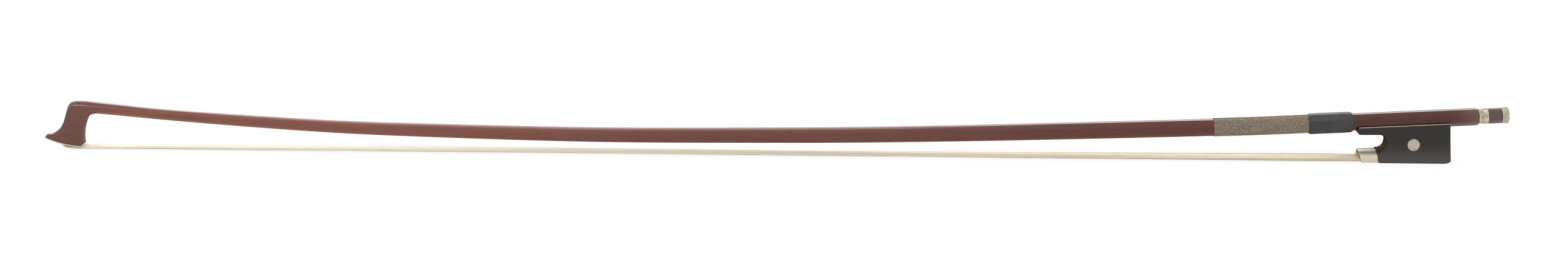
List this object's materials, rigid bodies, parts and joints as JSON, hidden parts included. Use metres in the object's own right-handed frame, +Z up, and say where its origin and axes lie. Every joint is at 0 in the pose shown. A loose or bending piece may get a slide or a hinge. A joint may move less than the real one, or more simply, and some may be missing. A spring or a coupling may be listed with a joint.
{
  "type": "violin bow",
  "caption": "Violin bow: octagonal to round cambered stick with a carved head, hair, wound and leather grip, and a sliding frog drawn by a turning screw button.",
  "frame": {"origin": "halfway along the bow, on the surface it stands on: the level of the frog's sole", "axes": "+X along the bow from the head to the button, +Y across the bow, +Z up from the hair to the stick"},
  "size_m": [0.7451, 0.0126, 0.0279],
  "materials": {
    "stick_wood": "french polished pernambuco, fine straight grain",
    "ebony": "oiled and polished",
    "face_plate": "polished, ivory-coloured",
    "plug_wood": "bare",
    "horsehair": "white horsehair, rosined",
    "winding_silk": "lacquered silk",
    "winding_thread": "silver-wound thread, dulled",
    "thumb_leather": "smooth dark hide",
    "silver": "worn satin",
    "nickel_silver": "worn satin, warm",
    "pearl": "polished mother-of-pearl",
    "wedge_wood": "bare, stained by rosin",
    "brass": "turned",
    "screw_steel": "turned",
    "button_wood": "polished, worn"
  },
  "bodies": {
    "stick": {"stick": "stick_wood", "head_lining": "ebony", "head_plate": "face_plate", "head_plug": "plug_wood", "head_knot": "horsehair", "hair_ribbon": "horsehair", "lapping_core": "winding_silk", "lapping": "winding_thread", "thumb_leather": "thumb_leather"},
    "frog": {"frog": "ebony", "frog_liner": "silver", "liner_pin_front": "silver", "liner_pin_rear": "silver", "eye_front": "pearl", "eye_back": "pearl", "ferrule": "nickel_silver", "spread_wedge": "wedge_wood", "pearl_slide": "pearl", "slide_backing": "ebony", "frog_plug": "plug_wood", "frog_knot": "horsehair", "eyelet": "brass"},
    "screw": {"screw": "screw_steel", "button_core": "button_wood", "button_collar": "nickel_silver", "button_cap": "nickel_silver"}
  },
  "joints": [
    {"name": "screw_turn", "type": "hinge", "parent": "stick", "child": "screw", "pos_m": [0.35712, 0, 0.02334], "axis": [-0.9985, 0, -0.0544], "range_deg": [-720, 2880]},
    {"name": "frog_slide", "type": "slide", "parent": "stick", "child": "frog", "axis": [0.9985, 0, 0.0544], "range_m": [-0.00127, 0.00508], "deforming": ["hair_ribbon"]}
  ],
  "couplings": [
    {"joint": "screw_turn", "follows": "frog_slide", "rad_per_m": 9894.7}
  ]
}
